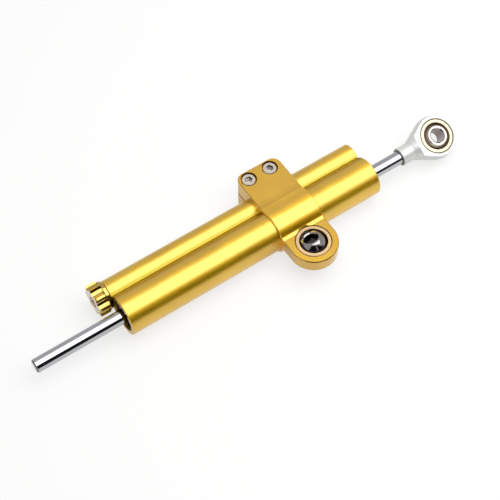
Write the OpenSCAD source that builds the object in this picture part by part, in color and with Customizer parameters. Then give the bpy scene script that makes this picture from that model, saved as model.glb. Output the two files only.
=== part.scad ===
// Linear steering damper with a through rod.
// Origin: centre of the bracket's swivel ball. +X runs along the rod to the rod end,
// +Y runs from the lug to the adjuster tube, +Z leaves the lug's upper face.

/* [Twin tube body] */
// Length of the body
body_l = 165; // [150:1:190]
// Outside diameter of the main tube
main_d = 23.2; // [22.8:0.1:24]
// Bore of the main tube
main_bore_d = 18; // [17:0.1:18.4]
// Outside diameter of the adjuster tube
small_d = 15.2; // [14.6:0.1:16]
// Bore of the adjuster tube
small_bore_d = 10; // [9.8:0.1:10.6]
// Distance between the two tube axes
tube_pitch = 16.5; // [16.2:0.1:18]
// Chamfer at the outer edges of both tube ends
body_chamfer = 0.7; // [0.2:0.1:1.2]
// Diameter of the oil ports between the two bores
port_d = 3; // [1.5:0.1:3.6]
// Distance of each oil port from the gland beside it
port_in = 3; // [2:0.1:6]

/* [Rod] */
// Diameter of the through rod
rod_d = 8; // [7.6:0.1:8.2]
// Bare rod left of the body, from its tip
rod_out_left = 54; // [52:1:80]
// Bare rod between the body and the rod end
rod_out_right = 21.8; // [21:0.1:40]
// Chamfer at the rod's tip
rod_chamfer = 0.8; // [0.3:0.1:1.5]
// Depth of the rod in the rod end's shank
rod_in_shank = 11; // [6:0.5:12]

/* [Piston] */
// Length of the piston
piston_l = 16; // [14:0.5:22]
// Travel of the rod to the left, from the drawn position
travel_left = 20; // [10:1:20]
// Travel of the rod to the right, from the drawn position
travel_right = 50; // [20:1:50]
// Space left between the piston and a gland at each end of the travel
end_space = 1; // [0.6:0.1:3]
// Gap between the piston's skirt and the bore
skirt_gap = 0.1; // [0.06:0.01:0.3]
// Width of the piston ring
piston_ring_w = 4; // [2:0.1:5]
// Radial thickness of the piston ring
piston_ring_t = 0.95; // [0.6:0.05:1.3]
// Thickness of the wire of the ring's backing O ring
backing_wire = 0.8; // [0.5:0.05:1]

/* [Glands] */
// Depth of each gland's outer face in the tube
gland_in = 2; // [1.8:0.1:5]
// Outside radius of the wiper's seat, over the rod's radius
wiper_wall = 2; // [1.4:0.1:2.6]
// Length of the wiper's seat
wiper_l = 3; // [2:0.1:5]
// Height of the wiper's lip over the gland
wiper_lip = 0.9; // [0.3:0.1:1.2]
// Radial thickness of the rod seal
seal_wall = 2.2; // [1.5:0.1:2.8]
// Length of the rod seal
seal_l = 4; // [3:0.1:5]
// Depth of the rod seal in the gland
seal_in = 5.5; // [5.5:0.1:8]
// Wall of the guide bush
bush_wall = 1; // [0.6:0.1:1.6]
// Length of the guide bush
bush_l = 16; // [8:1:18]
// Depth of the guide bush in the gland
bush_in = 14; // [13:0.5:16]
// Wire of the gland's O ring
gland_o_wire = 1.6; // [1:0.1:2]
// Depth of the gland's O ring in the gland
gland_o_in = 8; // [4:0.5:12]

/* [Circlips] */
// Thickness of the circlips
clip_t = 1; // [0.8:0.1:1.2]
// Depth of a circlip's groove
clip_groove = 0.8; // [0.4:0.1:1.1]
// Width of a circlip's ring
clip_w = 2.1; // [1.4:0.1:2.3]
// Radial width of the piston's clips
piston_clip_w = 2.2; // [1.2:0.1:2.6]
// Depth of the piston clips' grooves in the rod
piston_clip_groove = 0.5; // [0.3:0.1:0.8]

/* [Adjuster] */
// Diameter of the fluted knob
knob_d = 18.8; // [17:0.1:20]
// Length of the fluted part of the knob
knob_l = 6.5; // [5.5:0.1:10]
// Diameter of the knob's collar
collar_d = 16.8; // [14:0.1:17]
// Length of the knob's collar
collar_l = 1.8; // [1:0.1:4]
// Number of flutes round the knob
flutes = 8; // [5:1:8]
// Width of a flute
flute_w = 6.4; // [4:0.1:6.6]
// Depth of a flute
flute_depth = 2.4; // [1:0.1:2.6]
// Chamfer on the knob's outer edge
knob_chamfer = 0.7; // [0.2:0.1:1]
// Turn of the knob, as drawn
knob_turn = 28.5; // [0:0.5:44.5]
// Gap between the knob and the body
knob_gap = 0.3; // [0.2:0.05:0.5]
// Diameter of the valve spindle
spindle_d = 5; // [4.4:0.1:5.2]
// Length of the adjuster's plug in the tube
plug_l = 18; // [14:0.5:20]
// Diameter of the spindle's threaded stub
stub_d = 4; // [3:0.1:4.2]
// Length of the spindle's threaded stub
stub_l = 11; // [8:0.5:12]
// Thickness of the spindle's flange
flange_t = 1.5; // [1:0.1:2]
// Radial width of the spindle's flange
flange_w = 0.6; // [0.4:0.05:0.7]
// Width across the screw head in the knob's end
knob_screw_d = 5.5; // [4.5:0.1:6]
// Diameter of the detent ball
detent_d = 1.5; // [1:0.1:1.6]
// Clicks of the adjuster in a full turn
clicks = 12; // [8:1:16]

/* [Metering valve] */
// Length of the needle's guided land
land_l = 14; // [12:0.5:16]
// Space between the plug and the needle
needle_space = 4; // [3:0.1:5]
// Needle's travel between the ends of the knob's turn
needle_travel = 0.84; // [0.4:0.01:1]
// Length of the needle's stem and cone
needle_l = 11; // [9:0.5:14]
// Diameter of the needle's stem
stem_d = 4.4; // [3:0.1:5]
// Length of the valve seat
seat_l = 4; // [3:0.1:6]
// Diameter of the hole in the valve seat
seat_hole_d = 3; // [2:0.1:4]
// Diameter of the pin that keeps the needle from turning
guide_pin_d = 1.2; // [0.8:0.1:1.3]
// Length of the guide pin
guide_pin_l = 12.5; // [10:0.5:14]

/* [End plug] */
// Length of the plug in the right end of the adjuster tube
end_plug_l = 11; // [8:0.5:16]
// Depth of that plug's face in the tube
end_plug_in = 1; // [0.5:0.1:3]
// Width across flats of its socket
end_socket_af = 5; // [4:0.5:6]
// Depth of its socket
end_socket_depth = 4; // [2:0.5:5]
// Wire of the small O rings
small_o_wire = 1; // [0.7:0.05:1.2]

/* [Clamp bracket] */
// Distance from the body's left end to the middle of the bracket
clamp_pos = 110; // [70:1:130]
// Width of the bracket along the rod
bracket_w = 28; // [24:0.5:34]
// Wall of the ring round the main tube
ring_wall = 1.5; // [1.2:0.1:3]
// Half height of the jaws, from the tube axes
jaw_h = 11; // [9.6:0.1:12]
// Reach of the jaws from the main tube's axis
jaw_reach = 35.3; // [34.8:0.1:38]
// Radius of the jaws' corners
jaw_corner = 5; // [2:0.1:6]
// Fillet between the jaw and the ring
jaw_fillet = 30; // [8:1:40]
// Fillet between the lug and the ring
lug_fillet = 3; // [1:0.5:4]
// Width of the slit
slit_w = 1; // [0.6:0.1:2]
// Chamfer on the bracket's edges
bracket_chamfer = 0.5; // [0.2:0.1:0.8]
// Material between the lug's bearing and the main tube
lug_web = 0.25; // [0.2:0.05:4]
// Height of the lug's ball over the main tube's axis
lug_rise = 2.25; // [0:0.05:3]
// Thickness of the lug
lug_t = 8.5; // [8:0.1:10]
// Gap between the bracket and the tubes
clamp_gap = 0.05; // [0.03:0.01:0.1]

/* [Clamp bolts] */
// Distance of the bolts from the jaws' far edge
bolt_edge = 5.5; // [5.2:0.1:6.2]
// Shift of the two bolts from the middle of the bracket
bolt_shift = -0.8; // [-1.2:0.1:1.2]
// Distance between the two bolts
bolt_pitch = 14.3; // [12:0.1:16]
// Diameter of the bolts
bolt_d = 5; // [4:0.5:5]
// Diameter of the bolt heads
bolt_head_d = 8.5; // [7:0.1:8.6]
// Height of the bolt heads
bolt_head_h = 5; // [3.5:0.1:5]
// Chamfer on the bolt heads
bolt_head_chamfer = 0.55; // [0.2:0.05:0.8]
// Width across flats of the bolts' sockets
bolt_af = 4; // [3:0.5:5]
// Depth of the bolts' sockets
bolt_socket = 2.5; // [1.5:0.1:3]
// Depth of the bolt heads under the jaw's face
bolt_sink = 0.4; // [0.2:0.1:1]
// Gap round a bolt head in its counterbore
bolt_head_gap = 0.55; // [0.2:0.05:0.6]
// Gap round a bolt in the upper jaw
bolt_gap = 0.25; // [0.1:0.05:0.5]
// Material left under the tip of a bolt
bolt_floor = 1.2; // [0.8:0.1:2]

/* [Swivel bearings] */
// Diameter of the swivel balls
ball_d = 15.875; // [15:0.005:17]
// Width of the swivel balls
ball_w = 11; // [9.5:0.1:12]
// Bore of the swivel balls
ball_bore_d = 8; // [6:0.1:8.4]
// Chamfer of that bore
bore_chamfer = 0.65; // [0.2:0.05:0.8]
// Outside diameter of the races
race_d = 20; // [19.6:0.1:21.4]
// Chamfer round the mouths of the holes the races sit in
race_chamfer = 0.35; // [0.2:0.05:0.6]
// Width of the races
race_w = 8.5; // [7.5:0.1:8.5]
// Diameter of a race's open mouth
mouth_d = 16; // [15.6:0.1:17]
// Width of the spherical seat in a race
seat_w = 6; // [4:0.1:7]
// Running gap between ball and race
swivel_gap = 0.06; // [0.03:0.01:0.1]
// Lean of the bracket's ball, as drawn
ball_lean = 24; // [0:1:30]
// Direction of that lean, from +X towards +Y
ball_lean_dir = 104; // [0:1:180]

/* [Rod end] */
// Diameter of the rod end's head
head_d = 26; // [25:0.1:28]
// Thickness of the head
head_t = 9; // [8.5:0.1:10]
// Distance from the rod end's face to its ball
rod_end_l = 25.85; // [24:0.1:34]
// Diameter of its shank
shank_d = 10.8; // [10.4:0.1:12]
// Length of its straight shank
shank_l = 8; // [5:0.1:9]
// Diameter of the cut that makes the head's flat faces
face_cut_d = 29; // [27:0.5:30]
// Turn of the rod end about the rod, as drawn
rod_end_turn = 27.8; // [0:0.1:90]

/* [Fits] */
// Running gap between sliding or turning pieces
run_gap = 0.03; // [0.02:0.005:0.06]
// Gap between pieces that are fixed together
seat_gap = 0.02; // [0.01:0.005:0.04]

/* [Hidden] */
$fn = 72;
gold = "#d8a93c";
pale_gold = "#e6c98a";
steel = "#c9c9cc";
bright = "#e2e2e4";
satin = "#d4d4d2";
dark = "#3a3a3c";
cream = "#e8e0cc";
cut = 1;
edge = 0.4;
small_edge = 0.2;
o_side = 0.25;

main_r = main_d / 2;
main_bore_r = main_bore_d / 2;
small_r = small_d / 2;
small_bore_r = small_bore_d / 2;
rod_r = rod_d / 2;
ball_r = ball_d / 2;
race_r = race_d / 2;

x_left = -clamp_pos;
x_right = x_left + body_l;
rod_tip_x = x_left - rod_out_left;
rod_end_face_x = x_right + rod_out_right;
rod_end_x = rod_end_face_x + rod_end_l;

// The glands fill what the piston's travel leaves of the body.
chamber_l = piston_l + travel_left + travel_right + 2 * end_space;
gland_l = (body_l - 2 * gland_in - chamber_l) / 2;
chamber_x = x_left + gland_in + gland_l;
piston_x = chamber_x + end_space + travel_left + piston_l / 2;
gland_r = main_bore_r - seat_gap;
gland_gap = 0.3;
gland_o_x = x_left + gland_in + gland_o_in;

piston_r = main_bore_r - skirt_gap;
ring_out_r = main_bore_r - run_gap;
ring_in_r = ring_out_r - piston_ring_t;
backing_groove_r = ring_in_r - backing_wire - run_gap;
clip_inset = 0.1;
clip_pocket = clip_t + 2 * clip_inset;
clip_pocket_r = rod_r - piston_clip_groove + piston_clip_w + 0.3;
piston_clip_at = piston_l / 2 - clip_inset - clip_t / 2;

port_left_x = chamber_x + port_in;
port_right_x = chamber_x + chamber_l - port_in;

plug_r = small_bore_r - seat_gap;
plug_end_x = x_left + plug_l;
plug_o_x = x_left + 0.4 * plug_l;
spindle_o_x = x_left + 0.7 * plug_l;
click_depth = 0.3;
end_plug_x = x_right - end_plug_in - end_plug_l;
end_o_x = end_plug_x + 0.25 * end_plug_l;
seat_cone = 0.6;
knob_x = x_left - knob_gap;
knob_end_x = knob_x - collar_l - knob_l;
spindle_r = spindle_d / 2;
spindle_hole_r = spindle_r + run_gap;
flange_r = spindle_hole_r + flange_w;
stub_end_x = plug_end_x + run_gap + flange_t + stub_l;
screw_recess = 2;
screw_web = 1.2;
screw_sink = 0.3;
screw_socket = 1.1;
screw_gap = 0.35;
hole_gap = 0.1;
spindle_end_x = knob_end_x + screw_recess + screw_web;
flat_r = 0.75 * spindle_r;
flute_r = (flute_w * flute_w / 4 + flute_depth * flute_depth) / (2 * flute_depth);
flute_orbit = knob_d / 2 - flute_depth + flute_r;
screw_r = 0.375 * stub_d;
screw_l = 8;
detent_r = (spindle_r + small_bore_r) / 2;
track_depth = 0.55;
track_gap = 0.1;
detent_x = knob_x - 0.1;
detent_gap = 0.05;
detent_hole_l = 5;

needle_x = plug_end_x + needle_space;
land_r = small_bore_r - run_gap;
stem_x = needle_x + land_l;
tip_x = stem_x + needle_l;
needle_in_seat = 2;
seat_x = tip_x - needle_in_seat + needle_travel;
guide_pin_r = guide_pin_d / 2;
guide_orbit = (flange_r + land_r) / 2 + 0.05;
guide_in = 4.5;
guide_pin_x = needle_x + guide_in - guide_pin_l;
guide_slot_l = guide_in + 1 + needle_travel;
needle_o_x = needle_x + land_l - 5;
needle_floor = 2;
overlap = 0.5;
cone_l = 3.5;
tip_r = seat_hole_d / 2 - 0.9;

clamp_bore_r = main_r + clamp_gap;
ring_r = clamp_bore_r + ring_wall;
race_hole_r = race_r + seat_gap;
lug_arm = clamp_bore_r + lug_web + race_hole_r;
bolt_reach = jaw_reach - bolt_edge;
half_w = bracket_w / 2;
lug_top = lug_rise + lug_t / 2;
// The fillets dip this little into the ring, so that they meet it cleanly.
fillet_dip = 0.02;
fillet_ring_r = ring_r - fillet_dip;
function fillet_y(h, r) = sqrt(pow(fillet_ring_r + r, 2) - pow(h + r, 2));
bolt_r = bolt_d / 2;
cbore_r = bolt_head_d / 2 + bolt_head_gap;
cbore_z = jaw_h - bolt_sink - bolt_head_h;
bolt_end_z = bolt_floor - jaw_h;

seat_r = ball_r + swivel_gap;
seat_mouth_r = sqrt(seat_r * seat_r - seat_w * seat_w / 4);
blank_r = seat_mouth_r - 1.5;
mouth_r = mouth_d / 2;
flare_l = (race_w - seat_w) / 2;
race_edge = 0.3;
shank_edge = 0.4;
flat_ball_r = sqrt(ball_r * ball_r - ball_w * ball_w / 4);
head_r = head_d / 2;
shank_r = shank_d / 2;
neck_x = shank_l - rod_end_l;

// Places a shape drawn about the main tube's axis.
module on_main_axis() {
  translate([0, lug_arm, -lug_rise]) children();
}

// Places a shape drawn about the adjuster tube's axis.
module on_small_axis() {
  on_main_axis() translate([0, tube_pitch, 0]) children();
}

// Turns a profile of radius against distance about the X axis.
module turned(x) {
  translate([x, 0, 0]) rotate([0, 90, 0]) rotate_extrude() children();
}

// Extrudes a profile of Y against Z along the X axis.
module along_x(x, l) {
  translate([x, 0, 0]) rotate([90, 0, 90]) linear_extrude(l) children();
}

// A round bar or ring along X with chamfered outer edges.
module ring(x, l, r_out, r_in = 0, c_start = 0, c_end = 0) {
  turned(x) polygon([
    [r_in, 0], [r_out - c_start, 0], [r_out, c_start],
    [r_out, l - c_end], [r_out - c_end, l], [r_in, l]
  ]);
}

module bore(x, l, r) {
  translate([x, 0, 0]) rotate([0, 90, 0]) cylinder(h = l, r = r);
}

// An O ring about X whose inside lies on the radius r_floor.
module o_ring(x, r_floor, wire) {
  turned(x) translate([r_floor + wire / 2, 0]) circle(d = wire - seat_gap, $fn = 32);
}

// Groove for such a ring, in a round face of radius r_face.
module o_groove(x, r_face, wire) {
  turned(x) translate([r_face - wire, 0]) square([wire + cut, wire + 2 * o_side]);
}

module hexagon(af) {
  circle(d = af / cos(30), $fn = 6);
}

// A shape at the left end of the body, and its mirror image at the right end.
module both_ends() {
  children();
  translate([x_left + x_right, 0, 0]) mirror([1, 0, 0]) children();
}

module gland_blank() {
  difference() {
    ring(x_left + gland_in, gland_l, gland_r, rod_r + gland_gap, edge, edge);
    bore(x_left + gland_in - cut, wiper_l + cut, rod_r + wiper_wall);
    bore(x_left + gland_in + seal_in, seal_l, rod_r + seal_wall);
    bore(x_left + gland_in + bush_in, bush_l, rod_r + run_gap + bush_wall);
    o_groove(gland_o_x, gland_r, gland_o_wire);
  }
}

module internal_circlip(r_groove) {
  r_out = r_groove - seat_gap;
  difference() {
    union() {
      difference() {
        circle(r_out);
        circle(r_out - clip_w);
        rotate(-90) translate([0, -1.6]) square([r_out + cut, 3.2]);
      }
      for (side = [-1, 1])
        rotate(-90 + side * 17) translate([r_out - clip_w - 0.6, 0]) circle(1.55, $fn = 32);
    }
    for (side = [-1, 1])
      rotate(-90 + side * 17) translate([r_out - clip_w - 0.6, 0]) circle(0.65, $fn = 24);
  }
}

module body_tubes() {
  color(gold) on_main_axis() difference() {
    union() {
      ring(x_left, body_l, main_r, 0, body_chamfer / 2, body_chamfer);
      translate([0, tube_pitch, 0])
        ring(x_left, body_l, small_r, 0, body_chamfer / 2, body_chamfer);
    }
    bore(x_left - cut, body_l + 2 * cut, main_bore_r);
    translate([0, tube_pitch, 0]) bore(x_left - cut, body_l + 2 * cut, small_bore_r);
    both_ends() bore(x_left + gland_in - clip_t, clip_t, main_bore_r + clip_groove);
    for (x = [port_left_x, port_right_x])
      translate([x, 0, 0]) rotate([-90, 0, 0]) cylinder(h = tube_pitch, d = port_d);
  }
}

module left_gland() {
  color(steel) on_main_axis() gland_blank();
}

module right_gland() {
  color(steel) on_main_axis() translate([x_left + x_right, 0, 0]) mirror([1, 0, 0]) gland_blank();
}

module gland_o_rings() {
  color(dark) on_main_axis() both_ends()
    o_ring(gland_o_x + gland_o_wire / 2 + o_side, gland_r - gland_o_wire, gland_o_wire);
}

// U shaped rod seal, open towards the oil.
module rod_seals() {
  inner = rod_r + run_gap;
  outer = rod_r + seal_wall - seat_gap;
  end = seal_l - 2 * seat_gap;
  color(dark) on_main_axis() both_ends() turned(x_left + gland_in + seal_in + seat_gap) polygon([
    [inner, 0], [outer, 0], [outer, end], [rod_r + 0.7 * seal_wall, end],
    [rod_r + 0.5 * seal_wall, 0.45 * seal_l], [rod_r + 0.3 * seal_wall, end], [inner, end]
  ]);
}

module rod_wipers() {
  inner = rod_r + run_gap;
  outer = rod_r + wiper_wall - seat_gap;
  end = wiper_lip + wiper_l - seat_gap;
  color(dark) on_main_axis() both_ends() turned(x_left + gland_in - wiper_lip) polygon([
    [inner, 0], [rod_r + 0.3, 0], [rod_r + wiper_wall / 2, wiper_lip], [outer, wiper_lip],
    [outer, end], [inner, end]
  ]);
}

module guide_bushes() {
  color(pale_gold) on_main_axis() both_ends()
    ring(x_left + gland_in + bush_in + seat_gap, bush_l - 2 * seat_gap,
      rod_r + run_gap + bush_wall - seat_gap, rod_r + run_gap, small_edge, small_edge);
}

module gland_circlips() {
  color(dark) on_main_axis() both_ends()
    along_x(x_left + gland_in - clip_t + seat_gap, clip_t - 2 * seat_gap)
      internal_circlip(main_bore_r + clip_groove);
}

// Plug that holds the spindle, with a click track in its face.
module adjuster_plug() {
  color(steel) on_small_axis() difference() {
    ring(x_left, plug_l, plug_r, spindle_hole_r, small_edge, edge);
    turned(x_left - cut) translate([detent_r - detent_d / 2 - track_gap, 0])
      square([detent_d + 2 * track_gap, cut + track_depth]);
    for (i = [0 : clicks - 1])
      rotate([knob_turn + i * 360 / clicks, 0, 0]) translate([0, detent_r, 0])
        bore(x_left, track_depth + click_depth, 0.35 * detent_d);
    o_groove(plug_o_x, plug_r, small_o_wire);
    turned(spindle_o_x) square([spindle_hole_r + small_o_wire, small_o_wire + 2 * o_side]);
    at_guide_pin() bore(guide_pin_x, plug_end_x - guide_pin_x + cut, guide_pin_r + seat_gap);
  }
}

module adjuster_plug_o_ring() {
  color(dark) on_small_axis()
    o_ring(plug_o_x + small_o_wire / 2 + o_side, plug_r - small_o_wire, small_o_wire);
}

module spindle_o_ring() {
  color(dark) on_small_axis()
    o_ring(spindle_o_x + small_o_wire / 2 + o_side, spindle_hole_r, small_o_wire);
}

// Places a shape drawn about the guide pin's axis.
module at_guide_pin() {
  rotate([90, 0, 0]) translate([0, 0, -guide_orbit]) children();
}

module needle_guide_pin() {
  color(bright) on_small_axis() at_guide_pin()
    ring(guide_pin_x, guide_pin_l, guide_pin_r, 0, small_edge / 2, small_edge / 2);
}

module valve_seat() {
  color(steel) on_small_axis() difference() {
    ring(seat_x, seat_l, plug_r, seat_hole_d / 2, small_edge, small_edge);
    turned(seat_x) polygon([
      [0, -cut], [seat_hole_d / 2 + seat_cone + cut, -cut], [seat_hole_d / 2 - 0.01, seat_cone + 0.01]
    ]);
  }
}

module end_plug() {
  color(gold) on_small_axis() difference() {
    ring(end_plug_x, end_plug_l, plug_r, 0, edge, edge);
    along_x(end_plug_x + end_plug_l - end_socket_depth, end_socket_depth + cut) hexagon(end_socket_af);
    o_groove(end_o_x, plug_r, small_o_wire);
  }
}

module end_plug_o_ring() {
  color(dark) on_small_axis()
    o_ring(end_o_x + small_o_wire / 2 + o_side, plug_r - small_o_wire, small_o_wire);
}

// Hole with a flat for the end of the spindle.
module spindle_hole() {
  difference() {
    circle(spindle_r + seat_gap);
    translate([-spindle_d, flat_r + seat_gap]) square([2 * spindle_d, spindle_d]);
  }
}

module adjuster_knob() {
  color(gold) on_small_axis() rotate([knob_turn, 0, 0]) difference() {
    union() {
      ring(knob_end_x, knob_l, knob_d / 2, 0, knob_chamfer, knob_chamfer);
      ring(knob_end_x, knob_l + collar_l, collar_d / 2, 0, 0, small_edge);
    }
    for (i = [0 : flutes - 1])
      rotate([(i + 0.5) * 360 / flutes, 0, 0]) translate([0, flute_orbit, 0])
        bore(knob_end_x - cut, knob_l + cut, flute_r);
    bore(knob_end_x - cut, screw_recess + cut, knob_screw_d / 2 + screw_gap);
    bore(knob_end_x, knob_l, screw_r + hole_gap);
    along_x(spindle_end_x, knob_x + cut - spindle_end_x) spindle_hole();
    translate([0, detent_r, 0])
      bore(knob_x - detent_hole_l, detent_hole_l + cut, detent_d / 2 + detent_gap);
  }
}

// Spindle that the knob turns. Its stub is threaded into the needle.
module valve_spindle() {
  start_x = spindle_end_x + seat_gap;
  flange_x = plug_end_x + run_gap - start_x;
  stub_x = flange_x + flange_t;
  color(bright) on_small_axis() rotate([knob_turn, 0, 0]) difference() {
    turned(start_x) polygon([
      [0, 0], [spindle_r, 0], [spindle_r, flange_x], [flange_r, flange_x], [flange_r, stub_x],
      [stub_d / 2, stub_x], [stub_d / 2, stub_x + stub_l - 0.3], [stub_d / 2 - 0.3, stub_x + stub_l],
      [0, stub_x + stub_l]
    ]);
    translate([start_x - cut, -spindle_r, flat_r]) cube([knob_x - start_x + cut, spindle_d, spindle_r]);
    bore(start_x - cut, screw_l + cut, screw_r);
  }
}

module knob_screw() {
  color(steel) on_small_axis() rotate([knob_turn, 0, 0]) difference() {
    union() {
      ring(knob_end_x + screw_sink, screw_recess - screw_sink - seat_gap, knob_screw_d / 2, 0, 0.3, 0);
      ring(knob_end_x + screw_recess - 0.3, screw_l, screw_r - seat_gap, 0, 0, 0.3);
    }
    along_x(knob_end_x, screw_sink + screw_socket) hexagon(0.45 * knob_screw_d);
  }
}

module detent_ball() {
  color(bright) on_small_axis() rotate([knob_turn, 0, 0])
    translate([detent_x, detent_r, 0]) sphere(d = detent_d);
}

// Helical spring behind the ball, drawn as a stack of turns along a helix of short straight pieces.
module detent_spring() {
  wire = 0.26;
  turns = 6;
  steps = 12;
  length = 3.4;
  helix_r = detent_d / 2 - wire / 2 - 0.03;
  count = turns * steps;
  points = [for (i = [0 : count]) let (a = i * 360 / steps)
    [length * i / count, helix_r * cos(a), helix_r * sin(a)]];
  side = 4;
  rings = [for (i = [0 : count]) for (j = [0 : side - 1])
    let (a = i * 360 / steps, b = 45 + j * 360 / side)
    points[i] + wire / 2 * [cos(b), sin(b) * cos(a), sin(b) * sin(a)]];
  faces = [for (i = [0 : count - 1]) for (j = [0 : side - 1]) each [
    [i * side + j, i * side + (j + 1) % side, (i + 1) * side + j],
    [i * side + (j + 1) % side, (i + 1) * side + (j + 1) % side, (i + 1) * side + j]
  ]];
  caps = [[2, 1, 0], [3, 2, 0], [count * side, count * side + 1, count * side + 2],
    [count * side, count * side + 2, count * side + 3]];
  color(steel) on_small_axis() rotate([knob_turn, 0, 0])
    translate([detent_x - detent_d / 2 - 0.15 - length, detent_r, 0])
      polyhedron(points = rings, faces = concat(faces, caps));
}

module metering_needle() {
  color(bright) on_small_axis() difference() {
    union() {
      ring(needle_x, land_l, land_r, 0, 0.3, 0.3);
      turned(stem_x - overlap) polygon([
        [0, 0], [stem_d / 2, 0], [stem_d / 2, needle_l - cone_l], [tip_r, needle_l + overlap],
        [0, needle_l + overlap]
      ]);
    }
    bore(needle_x - cut, land_l - needle_floor + cut, stub_d / 2 + run_gap);
    o_groove(needle_o_x, land_r, small_o_wire);
    at_guide_pin() bore(needle_x - cut, guide_slot_l + cut, guide_pin_r + run_gap);
  }
}

module needle_o_ring() {
  color(dark) on_small_axis()
    o_ring(needle_o_x + small_o_wire / 2 + o_side, land_r - small_o_wire, small_o_wire);
}

module piston_ring() {
  color(cream) on_main_axis()
    ring(piston_x - piston_ring_w / 2, piston_ring_w, ring_out_r, ring_in_r,
      small_edge / 2, small_edge / 2);
}

module piston_rod() {
  color(bright) on_main_axis() difference() {
    ring(rod_tip_x, rod_end_face_x + rod_in_shank - rod_tip_x, rod_r, 0, rod_chamfer, 0.5);
    for (side = [-1, 1])
      turned(piston_x + side * piston_clip_at - clip_t / 2)
        translate([rod_r - piston_clip_groove, 0]) square([piston_clip_groove + cut, clip_t]);
  }
}

module piston() {
  color(steel) on_main_axis() difference() {
    ring(piston_x - piston_l / 2, piston_l, piston_r, rod_r + seat_gap, edge, edge);
    for (side = [-1, 1])
      turned(piston_x + side * (piston_l / 2 - clip_pocket / 2 + cut / 2))
        translate([0, -clip_pocket / 2 - cut / 2]) square([clip_pocket_r, clip_pocket + cut]);
    turned(piston_x - piston_ring_w / 2 - run_gap)
      translate([backing_groove_r, 0]) square([piston_r, piston_ring_w + 2 * run_gap]);
  }
}

module piston_clips() {
  color(dark) on_main_axis() for (side = [-1, 1])
    along_x(piston_x + side * piston_clip_at - clip_t / 2 + seat_gap, clip_t - 2 * seat_gap)
      difference() {
        circle(rod_r - piston_clip_groove + piston_clip_w);
        circle(rod_r - piston_clip_groove + seat_gap);
        translate([0, -0.7 * rod_r]) square([rod_r + piston_clip_w + cut, 1.4 * rod_r]);
      }
}

module piston_ring_o_ring() {
  color(dark) on_main_axis() o_ring(piston_x, backing_groove_r, backing_wire);
}

// Outline of the rod end, turned about the rod: shank, taper and round head.
module rod_end_profile() {
  reach = norm([neck_x, shank_r]);
  touch = 180 - atan2(shank_r, -neck_x) - acos(head_r / reach);
  polygon([
    [0, -rod_end_l], [shank_r - shank_edge, -rod_end_l], [shank_r, shank_edge - rod_end_l],
    [shank_r, neck_x],
    [head_r * sin(touch), head_r * cos(touch)], [0, 0]
  ]);
  intersection() {
    circle(head_r);
    translate([0, -head_d]) square([head_d, 2 * head_d]);
  }
}

// Turned rod end with two flat faces cut round its eye.
module rod_end_housing() {
  color(satin) on_main_axis() translate([rod_end_x, 0, 0]) rotate([rod_end_turn, 0, 0]) difference() {
    turned(0) rod_end_profile();
    for (side = [-1, 1])
      translate([0, 0, side * (head_t / 2 + head_r)])
        cylinder(h = head_d, d = face_cut_d, center = true);
    race_hole(head_t);
    bore(-rod_end_l - cut, rod_in_shank + cut + seat_gap, rod_r + seat_gap);
  }
}

// Hole for a race about Z, through a thickness t, with chamfered mouths.
module race_hole(t) {
  cylinder(h = 4 * t, r = race_hole_r, center = true);
  for (side = [0, 1])
    mirror([0, 0, side]) translate([0, 0, t / 2 - race_chamfer])
      cylinder(h = race_chamfer + cut, r1 = race_hole_r, r2 = race_hole_r + race_chamfer + cut);
}

// Race of a swivel bearing about Z, with a spherical seat and flared mouths.
module race() {
  difference() {
    rotate_extrude() polygon([
      [blank_r, -race_w / 2], [race_r - race_edge, -race_w / 2], [race_r, race_edge - race_w / 2],
      [race_r, race_w / 2 - race_edge], [race_r - race_edge, race_w / 2], [blank_r, race_w / 2]
    ]);
    sphere(seat_r);
    for (side = [0, 1])
      mirror([0, 0, side]) translate([0, 0, seat_w / 2])
        cylinder(h = flare_l + cut, r1 = seat_mouth_r,
          r2 = mouth_r + (mouth_r - seat_mouth_r) * cut / flare_l);
  }
}

// Ball with two flats and a chamfered bore along Z.
module swivel_ball() {
  difference() {
    sphere(ball_r);
    for (side = [-1, 1])
      translate([0, 0, side * (ball_w / 2 + ball_r)]) cube(2 * ball_r, center = true);
    cylinder(h = 2 * ball_w, d = ball_bore_d, center = true);
    for (side = [0, 1])
      mirror([0, 0, side]) translate([0, 0, ball_w / 2 - bore_chamfer])
        cylinder(h = bore_chamfer + cut, r1 = ball_bore_d / 2,
          r2 = ball_bore_d / 2 + bore_chamfer + cut);
  }
}

module rod_end_race() {
  color(pale_gold) on_main_axis() translate([rod_end_x, 0, 0]) rotate([rod_end_turn, 0, 0]) race();
}

module rod_end_ball() {
  color(bright) on_main_axis() translate([rod_end_x, 0, 0]) rotate([rod_end_turn, 0, 0]) swivel_ball();
}

// Triangle that takes the chamfer off an outer edge at the origin.
module chamfer_cut() {
  c = bracket_chamfer;
  polygon([[-c, cut], [-c, 0], [0, -c], [cut, -c], [cut, cut]]);
}

// Part of an outline that joins a flat face at height h to the ring by a fillet of radius r.
module ring_fillet(h, r) {
  y = fillet_y(h, r);
  share = fillet_ring_r / (fillet_ring_r + r);
  difference() {
    polygon([[0, 0], [y, 0], [y, share * (h + r)], [share * y, share * (h + r)]]);
    translate([y, h + r]) circle(r);
  }
}

// Cone that takes the chamfer off such a fillet's edge, on the given side.
module fillet_chamfer(h, r, side) {
  c = bracket_chamfer;
  translate([side * (half_w + cut), fillet_y(h, r), h + r]) rotate([0, -side * 90, 0])
    cylinder(h = c + cut, r1 = r + c + cut, r2 = r);
}

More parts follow.
